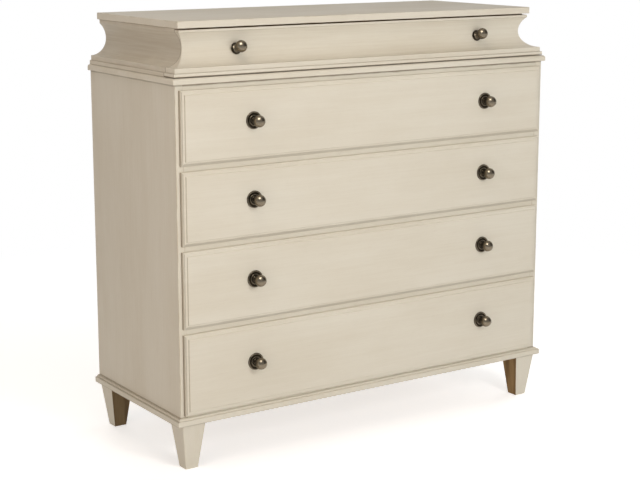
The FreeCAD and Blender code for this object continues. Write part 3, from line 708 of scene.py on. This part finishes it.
def sealed_wood(name, grain, light, dark, shift=(0, 0, 0)):
    """Clear-sealed solid wood with growth rings, streaks and fine pores."""
    material, bench = new_material(name)
    place = bench.add("TexCoord").outputs["Object"]
    along = lay_grain(bench, place, grain, shift)
    pattern = bench.use(wood_grain, {"Along": along})
    colour = bench.tint(light, dark, pattern["Rings"], strength=0.55)
    colour = bench.tint(colour, dark, pattern["Streaks"], strength=0.4)
    colour = bench.tint(colour, dark, pattern["Pores"], strength=0.35)
    roughness = bench.build_up(WOOD_ROUGHNESS, (pattern["Streaks"], 0.14))
    height = bench.math("SUBTRACT", pattern["Fibres"], pattern["Pores"])
    finish_with(bench, {
        "Base Color": colour,
        "Roughness": roughness,
        "Normal": bump(bench, height, depth=0.0002, strength=0.3),
    })
    return material


def plywood(name, grain, thin_axis, low, high):
    """Veneered plywood: grain on its faces, and its plies along its edges."""
    material, bench = new_material(name)
    coordinates = bench.add("TexCoord").outputs
    place = coordinates["Object"]
    along = lay_grain(bench, place, grain)
    pattern = bench.use(wood_grain, {"Along": along})
    face = bench.tint(BIRCH, BIRCH_DARK, pattern["Rings"], strength=0.45)
    face = bench.tint(face, BIRCH_DARK, pattern["Streaks"], strength=0.35)
    through = bench.math("SUBTRACT", bench.split(place)[thin_axis], low)
    layer = bench.math("MULTIPLY", through, PLIES / (high - low))
    odd = bench.math("PINGPONG", layer, 1.0)
    from_joint = bench.math("ABSOLUTE", bench.math("SUBTRACT", odd, 0.5))
    glue = bench.ease(from_joint, low=0.10, high=0.02)
    edge = bench.mix(bench.ease(odd, low=0.42, high=0.58), BIRCH, BIRCH_DARK)
    edge = bench.mix(glue, edge, PLY_GLUE)
    flat = bench.math("ABSOLUTE", bench.split(coordinates["Normal"])[thin_axis])
    colour = bench.mix(bench.ease(flat, low=0.4, high=0.6), edge, face)
    roughness = bench.build_up(PLY_ROUGHNESS, (pattern["Streaks"], 0.12))
    finish_with(bench, {
        "Base Color": colour,
        "Roughness": roughness,
        "Normal": bump(bench, pattern["Fibres"], depth=0.0002, strength=0.3),
    })
    return material


def antique_bronze(name):
    """Dark bronze, rubbed on the high spots that the piece's own wear attribute marks."""
    material, bench = new_material(name)
    place = bench.add("TexCoord").outputs["Object"]
    wear = bench.add("Attribute", attribute_name="wear").outputs["Fac"]
    blotch = bench.noise(place, BRONZE_BLOTCHES, detail=4, rough=0.6)
    speck = bench.noise(place, BRONZE_SPECKS, detail=2)
    uneven = bench.build_up(wear, (bench.math("SUBTRACT", blotch, 0.5), 0.75))
    colour = bench.mix(bench.ease(uneven, low=0.05, high=0.50), BRONZE_DARK, BRONZE_BODY)
    colour = bench.mix(bench.ease(uneven, low=0.45, high=1.0), colour, BRONZE_RUBBED)
    colour = bench.mix(bench.ease(speck, low=0.66, high=0.76), colour, BRONZE_DARK)
    roughness = bench.build_up(BRONZE_ROUGHNESS, (bench.ease(uneven, low=0.1, high=0.9), -0.15))
    finish_with(bench, {
        "Base Color": colour,
        "Metallic": 1.0,
        "Roughness": roughness,
        "Normal": bump(bench, blotch, depth=0.0001, strength=0.08),
    })
    return material


def zinc_plate(name):
    """Dull zinc on screws and bolts."""
    material, bench = new_material(name)
    place = bench.add("TexCoord").outputs["Object"]
    cloud = bench.noise(place, ZINC_CLOUDS, detail=4, rough=0.6)
    colour = bench.mix(bench.ease(cloud, low=0.35, high=0.68), ZINC, ZINC_DULL)
    roughness = bench.build_up(ZINC_ROUGHNESS, (cloud, 0.30))
    finish_with(bench, {
        "Base Color": colour,
        "Metallic": 1.0,
        "Roughness": roughness,
        "Normal": bump(bench, cloud, depth=0.0001, strength=0.2),
    })
    return material


def dress(node, material):
    """Give a CAD node its finish."""
    mesh = nodes[node].data
    mesh.materials.clear()
    mesh.materials.append(material)


# Where the finishes go

# Bare wood on the top's underside, also darkening the shaded gap above the frieze as painted shade.
dress("top_board", painted(
    "paint_top_board", "X", rub=rubbed_edges("top_board"), bare=facing_along("Z", -1),
    shift=(0.3, 0.1, 0),
))
for side, inward in (("left", 1), ("right", -1)):
    dress(f"frieze_end_{side}", painted(
        f"paint_frieze_end_{side}", "Y", streaks=0.28, shift=(0.2, 0.5, 0.1),
        glaze_and_shade=combined(glaze_and_shade_at_levels(FRIEZE_GLAZE_AND_SHADE_LEVELS + COVE_GLAZE_AND_SHADE), glaze_at_seam),
        bare=bare_inside,
    ))
    dress(f"side_panel_{side}", painted(
        f"paint_side_panel_{side}", "Z", streaks=0.05, shift=(0.4, 0.2, 0.7),
        glaze_and_shade=glaze_and_shade_at_levels(SIDE_GLAZE_AND_SHADOW_LEVELS), rub=rubbed_edges(f"side_panel_{side}"),
        bare=bare_inside,
    ))
    dress(f"base_{side}", painted(
        f"paint_base_{side}", "Y", glaze_and_shade=glaze_and_shade_at_levels(BASE_LEVELS),
        bare=facing_along("X", inward),
    ))
dress("frieze_back", painted("paint_frieze_back", "X", bare=facing_along("Y", -1)))
dress("waist_board", painted(
    "paint_waist_board", "X", glaze_and_shade=glaze_and_shade_at_levels(WAIST_LEVELS),
    rub=rubbed_edges("waist_board", THIN_RUB_WIDTH), bare=bare_inside,
))
for rail in RAILS:
    dress(rail, painted(
        f"paint_{rail}", "X", glaze_and_shade=glaze_and_shade_at_levels(RAIL_SHADOW_LEVELS), bare=bare_inside,
        shift=(0.1, 0.3, 0.2),
    ))
dress("base_front", painted(
    "paint_base_front", "X", glaze_and_shade=glaze_and_shade_at_levels(BASE_FRONT_LEVELS), bare=bare_inside
))
dress("base_back", painted("paint_base_back", "X", bare=facing_along("Y", -1)))
for foot in FEET:
    dress(foot, foot_paint(foot))
for number, drawer in enumerate(LIPPED_DRAWERS):
    middle, half = middle_and_half(f"{drawer}_front")
    steps = LOWEST_STEP_GLAZE_AND_SHADE if drawer == LOWEST_DRAWER else STEP_GLAZE_AND_SHADE
    dress(f"{drawer}_front", painted(
        f"paint_{drawer}_front", "X", shift=tuple(part * number for part in DRAWER_SHIFT),
        glaze_and_shade=glaze_and_shade_round_steps(
            tuple(middle), half.x, half.z, FRONT_PLANE - middle.y, steps
        ),
        bare=bare_behind(FRONT_PLANE),
    ))
# The frieze front's top face is bare wood, also darkening the shaded gap under the top as painted
# shade.
dress("frieze_drawer_front", painted(
    "paint_frieze_drawer_front", "X", streaks=0.14, shift=(0.6, 0.4, 0.9),
    glaze_and_shade=combined(glaze_and_shade_at_levels(FRIEZE_FRONT_GLAZE_AND_SHADE_LEVELS), glaze_at_seam),
    bare=combined(bare_behind(FRIEZE_SEAM), facing_along("Z", 1, FRIEZE_LEDGE)),
))

maple_lengthwise = sealed_wood("maple_along_sides", "Y", MAPLE, MAPLE_DARK)
maple_crosswise = sealed_wood("maple_across_backs", "X", MAPLE, MAPLE_DARK, (0.2, 0.6, 0.1))
zinc = zinc_plate("zinc_plated_steel")
for drawer in ALL_DRAWERS:
    for side in ("left", "right"):
        dress(f"{drawer}_side_{side}", maple_lengthwise)
    dress(f"{drawer}_back", maple_crosswise)
    low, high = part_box(f"{drawer}_bottom")
    dress(f"{drawer}_bottom", plywood(f"birch_{drawer}_bottom", "X", "Z", low.z, high.z))
    dress(f"{drawer}_knob_screws", zinc)
dress("drawer_runners", sealed_wood("hardwood_runners", "Y", MAPLE, MAPLE_DARK, (0.5, 0.3, 0)))
low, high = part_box("back_panel")
dress("back_panel", plywood("birch_back_panel", "Z", "Y", low.y, high.y))
dress("foot_bolts", zinc)
bronze = antique_bronze("antique_bronze_metal")


# Knobs and back plates


def arc(middle_radius, middle_height, size, first, last, count):
    """Points of a turned profile on an arc, by angle in degrees from the axis."""
    points = []
    for step in range(count + 1):
        angle = math.radians(first + (last - first) * step / count)
        points.append((
            middle_radius + size * math.sin(angle), middle_height + size * math.cos(angle)
        ))
    return points


def turn_profile(name, profile):
    """Turn a profile of (radius, height) points about the upright axis through the origin."""
    bpy.ops.object.select_all(action="DESELECT")
    bpy.ops.mesh.primitive_plane_add(size=0.01)
    piece = bpy.context.active_object
    piece.name = name
    bpy.ops.object.mode_set(mode="EDIT")
    bpy.ops.mesh.merge(type="CENTER")
    place = profile[0]
    bpy.ops.transform.translate(value=(place[0], 0, place[1]))
    for radius, height in profile[1:]:
        bpy.ops.mesh.extrude_vertices_move(TRANSFORM_OT_translate={
            "value": (radius - place[0], 0, height - place[1])
        })
        place = (radius, height)
    bpy.ops.mesh.select_all(action="SELECT")
    bpy.ops.mesh.spin(steps=TURNING_STEPS, angle=2 * math.pi, center=(0, 0, 0), axis=(0, 0, 1))
    bpy.ops.mesh.select_all(action="SELECT")
    bpy.ops.mesh.remove_doubles(threshold=MERGE_DISTANCE)
    bpy.ops.mesh.normals_make_consistent(inside=False)
    bpy.ops.object.mode_set(mode="OBJECT")
    bpy.ops.object.shade_smooth_by_angle(angle=math.radians(CREASE_ANGLE))
    return piece


def mark_wear(piece, wear_at):
    """Store how far each point of a turned piece is rubbed, from its height."""
    wear = piece.data.attributes.new("wear", "FLOAT", "POINT")
    for vertex in piece.data.vertices:
        wear.data[vertex.index].value = wear_at(vertex.co.z)


def set_pair(piece, seat, tilt, spread):
    """Lay a turned piece against its drawer front, and join it to a copy on the other side."""
    bpy.ops.object.select_all(action="DESELECT")
    piece.select_set(True)
    bpy.context.view_layer.objects.active = piece
    piece.rotation_euler = (math.radians(90 - tilt), 0, 0)
    piece.location = (-spread, seat[0], seat[1])
    bpy.ops.object.transform_apply(location=True, rotation=True, scale=True)
    bpy.ops.object.duplicate()
    bpy.ops.transform.translate(value=(2 * spread, 0, 0))
    piece.select_set(True)
    bpy.context.view_layer.objects.active = piece
    bpy.ops.object.join()
    bpy.ops.object.transform_apply(location=True, rotation=True, scale=True)
    return piece


def knob_profile(foot_radius, foot_height, flare, ball_radius, ball_height):
    """From the middle of the foot, out round its edge, up the neck and over the ball."""
    edge = foot_height * FOOT_ROUND_SHARE
    shoulder = foot_radius - edge
    points = [(0, 0), (shoulder, 0)]
    points += arc(shoulder, edge, edge, 180, 90, count=5)[1:]
    points += arc(shoulder, foot_height - edge, edge, 90, 0, count=5)
    points += arc(KNOB_NECK + flare, foot_height + flare, flare, 180, 270, count=8)
    collar_height = foot_height + flare + KNOB_COLLAR
    points += arc(KNOB_NECK, collar_height, KNOB_COLLAR, 180, 0, count=8)
    meet = math.degrees(math.asin(KNOB_NECK / ball_radius))
    points += arc(0, ball_height, ball_radius, 180 - meet, 0, count=44)[:-1]
    return points + [(0, ball_height + ball_radius)]


def rosette_profile(radius):
    """From the middle of the back, over a raised rim and a bead to the boss under the knob."""
    points = [(0, 0), (radius, 0)]
    points += arc(radius - RIM_ROUND, RIM_HEIGHT - RIM_ROUND, RIM_ROUND, 90, -62, count=14)
    cove_height = PLATE_FLOOR + RIM_COVE_LIFT
    points += arc(radius - RIM_COVE_INSET, cove_height, RIM_COVE, 118, 180, count=5)
    points += arc(BEAD_PLACE, PLATE_FLOOR, BEAD, 90, -90, count=12)
    points += [(BOSS + BOSS_SPLAY, PLATE_FLOOR)]
    points += arc(BOSS - BOSS_ROUND, BOSS_HEIGHT - BOSS_ROUND, BOSS_ROUND, 90, 0, count=4)
    return points + [(0, BOSS_HEIGHT)]


def smooth_rise(value, low, high):
    """From 0 at low to 1 at high, with no corners."""
    share = min(max((value - low) / (high - low), 0), 1)
    return share * share * (3 - 2 * share)


def bronze_pair(name, drawer, piece, seat, tilt, spread):
    """Set a turned piece and its twin on a drawer, in place of the CAD solids."""
    piece = set_pair(piece, seat, tilt, spread)
    piece.name = f"{name}_turned"
    piece.data.materials.append(bronze)
    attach(piece, drawer)
    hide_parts(name)


def make_knobs(drawer, seat, tilt, spread, foot, ball, foot_wear):
    """Two ball knobs, dark on the side of the ball that faces the drawer."""
    ball_radius, ball_height = ball

    def wear_at(height):
        along = (height - ball_height) / ball_radius
        if along < -1:
            return foot_wear
        return BALL_WEAR * smooth_rise(along, -BALL_WEAR_BAND, BALL_WEAR_BAND)

    knob = turn_profile(f"{drawer}_knob", knob_profile(*foot, ball_radius, ball_height))
    mark_wear(knob, wear_at)
    bronze_pair(f"{drawer}_knobs", drawer, knob, seat, tilt, spread)


def make_rosettes(drawer, seat, spread, radius):
    """Two round back plates, rubbed along their rims."""

    def wear_at(height):
        rise = smooth_rise(height, PLATE_FLOOR, RIM_HEIGHT)
        return PLATE_FLOOR_WEAR + (RIM_WEAR - PLATE_FLOOR_WEAR) * rise

    rosette = turn_profile(f"{drawer}_rosette", rosette_profile(radius))
    mark_wear(rosette, wear_at)
    bronze_pair(f"{drawer}_rosettes", drawer, rosette, seat, 0, spread)


for drawer in LIPPED_DRAWERS:
    low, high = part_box(f"{drawer}_rosettes")
    radius = (high.z - low.z) / 2
    level = (high.z + low.z) / 2
    make_rosettes(drawer, (high.y, level), high.x - radius, radius)
    low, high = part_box(f"{drawer}_knobs")
    radius = (high.z - low.z) / 2
    ball = (radius, high.y - low.y - radius)
    make_knobs(
        drawer, (high.y, level), 0, high.x - radius, KNOB_FOOT, ball, KNOB_FOOT_WEAR
    )

low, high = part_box("frieze_drawer_knobs")
radius = high.x - FRIEZE_KNOB_SPREAD
lean = math.radians(FRIEZE_KNOB_TILT)
seat = (
    low.y + radius + FRIEZE_KNOB_HEIGHT * math.cos(lean),
    high.z - radius - FRIEZE_KNOB_HEIGHT * math.sin(lean),
)
make_knobs(
    "frieze_drawer", seat, FRIEZE_KNOB_TILT, FRIEZE_KNOB_SPREAD, FRIEZE_KNOB_FOOT,
    (radius, FRIEZE_KNOB_HEIGHT), FRIEZE_KNOB_FOOT_WEAR,
)


# Studio


def studio_light(name, place, aim, size, power, colour=(1, 1, 1), mirrored=True, lighting=True):
    """A soft lamp, hidden from the camera. It shows in gloss if mirrored, on paint if lighting."""
    lamp = bpy.data.lights.new(name, "AREA")
    lamp.shape = "RECTANGLE"
    lamp.size, lamp.size_y = size
    lamp.energy = power
    lamp.color = colour
    light = bpy.data.objects.new(name, lamp)
    light.location = place
    light.rotation_euler = (Vector(aim) - Vector(place)).to_track_quat("-Z", "Y").to_euler()
    light.visible_camera = False
    light.visible_glossy = mirrored
    light.visible_diffuse = lighting
    bpy.context.scene.collection.objects.link(light)


def seen_directly(bench):
    """1 for what the eye, a reflection or glass sees, 0 for light that only falls on things."""
    path = bench.add("LightPath").outputs
    return bench.largest(
        path["Is Camera Ray"], path["Is Glossy Ray"], path["Is Transmission Ray"]
    )


def make_floor():
    """A pale floor that keeps the chest's shadow near it and fades to white further off."""
    bpy.ops.object.select_all(action="DESELECT")
    bpy.ops.mesh.primitive_circle_add(
        vertices=FLOOR_SIDES, radius=FLOOR_RADIUS, fill_type="NGON"
    )
    floor = bpy.context.active_object
    floor.name = "studio_floor"
    material, bench = new_material("pale_floor")
    place = bench.add("TexCoord").outputs["Object"]
    far = bench.add("VectorMath", {0: place}, operation="LENGTH").outputs["Value"]
    lit = bench.add("BsdfDiffuse", {"Color": FLOOR_GREY}).outputs[0]
    lift = bench.add("Emission", {"Color": WHITE, "Strength": FLOOR_LIFT}).outputs[0]
    white = bench.add("Emission", {"Color": WHITE, "Strength": 1.0}).outputs[0]
    near = bench.add("AddShader", {0: lit, 1: lift}).outputs[0]
    fade = bench.ease(far, *FLOOR_FADE)
    seen = bench.add("MixShader", {0: fade, 1: near, 2: white}).outputs[0]
    shader = bench.add("MixShader", {0: seen_directly(bench), 1: lit, 2: seen}).outputs[0]
    bench.add("OutputMaterial", {"Surface": shader})
    floor.data.materials.append(material)


def make_world():
    """White behind the chest, and a dim room that fills the shadows and shows in the metal."""
    world = bpy.data.worlds.new("studio")
    world.use_nodes = True
    world.node_tree.nodes.clear()
    bench = Bench(world.node_tree)
    path = bench.add("LightPath").outputs
    towards = bench.split(bench.add("TexCoord").outputs["Generated"])
    backdrop = bench.ease(towards["Y"], *BACKDROP_EDGE)
    mirrored = bench.largest(path["Is Glossy Ray"], path["Is Transmission Ray"])
    seen = bench.largest(path["Is Camera Ray"], bench.math("MULTIPLY", mirrored, backdrop))
    room = bench.mix(bench.ease(towards["Z"], *ROOM_RISE), ROOM_LOW, ROOM_HIGH)
    dim_side = bench.ease(towards["X"], *DIM_SIDE)
    reflected = bench.mix(dim_side, MIRRORED_ROOM, MIRRORED_DIM)
    room = bench.mix(mirrored, room, reflected)
    colour = bench.mix(seen, room, WHITE)
    sky = bench.add("Background", {"Color": colour, "Strength": 1.0})
    bench.add("OutputWorld", {"Surface": sky.outputs[0]})
    bpy.context.scene.world = world


def make_camera():
    """The camera at the photograph's viewing angle."""
    data = bpy.data.cameras.new("photo_camera")
    data.lens = CAMERA_LENS
    data.sensor_width = CAMERA_FILM
    data.shift_y = CAMERA_SHIFT
    camera = bpy.data.objects.new("photo_camera", data)
    camera.location = CAMERA_PLACE
    camera.rotation_euler = (math.radians(90 - CAMERA_DIP), 0, math.radians(CAMERA_TURN))
    bpy.context.scene.collection.objects.link(camera)
    bpy.context.scene.camera = camera


make_floor()
make_world()
make_camera()
studio_light(
    "overhead_softbox", place=(-0.95, -0.95, 2.75), aim=(0, -0.1, 0.8), size=(1.4, 1.4), power=11,
    colour=WARM_ABOVE,
)
studio_light(
    "knob_highlight", place=(-1.1, -1.15, 2.65), aim=DRAWERS_MIDDLE, size=(1.2, 1.2), power=30,
    lighting=False,
)
studio_light(
    "front_softbox", place=(0.1, -3.6, 0.85), aim=CHEST_MIDDLE, size=(3.0, 1.2), power=34,
    mirrored=False,
)
studio_light(
    "key_softbox", place=(0.0, -3.1, 1.9), aim=DRAWERS_MIDDLE, size=(0.6, 0.6), power=24,
    mirrored=False,
)
studio_light(
    "side_softbox", place=(-2.8, -1.3, 1.1), aim=CHEST_MIDDLE, size=(2.0, 2.0), power=23,
    colour=WARM_SIDE, mirrored=False,
)
studio_light(
    "right_softbox", place=(3.3, 0.7, 1.2), aim=(0, 0.1, 0.5), size=(2.0, 2.0), power=40,
    mirrored=False,
)
studio_light(
    "back_softbox", place=(0.8, 3.6, 1.0), aim=CHEST_MIDDLE, size=(2.4, 1.4), power=50,
    mirrored=False,
)
bpy.context.scene.view_settings.view_transform = "Standard"
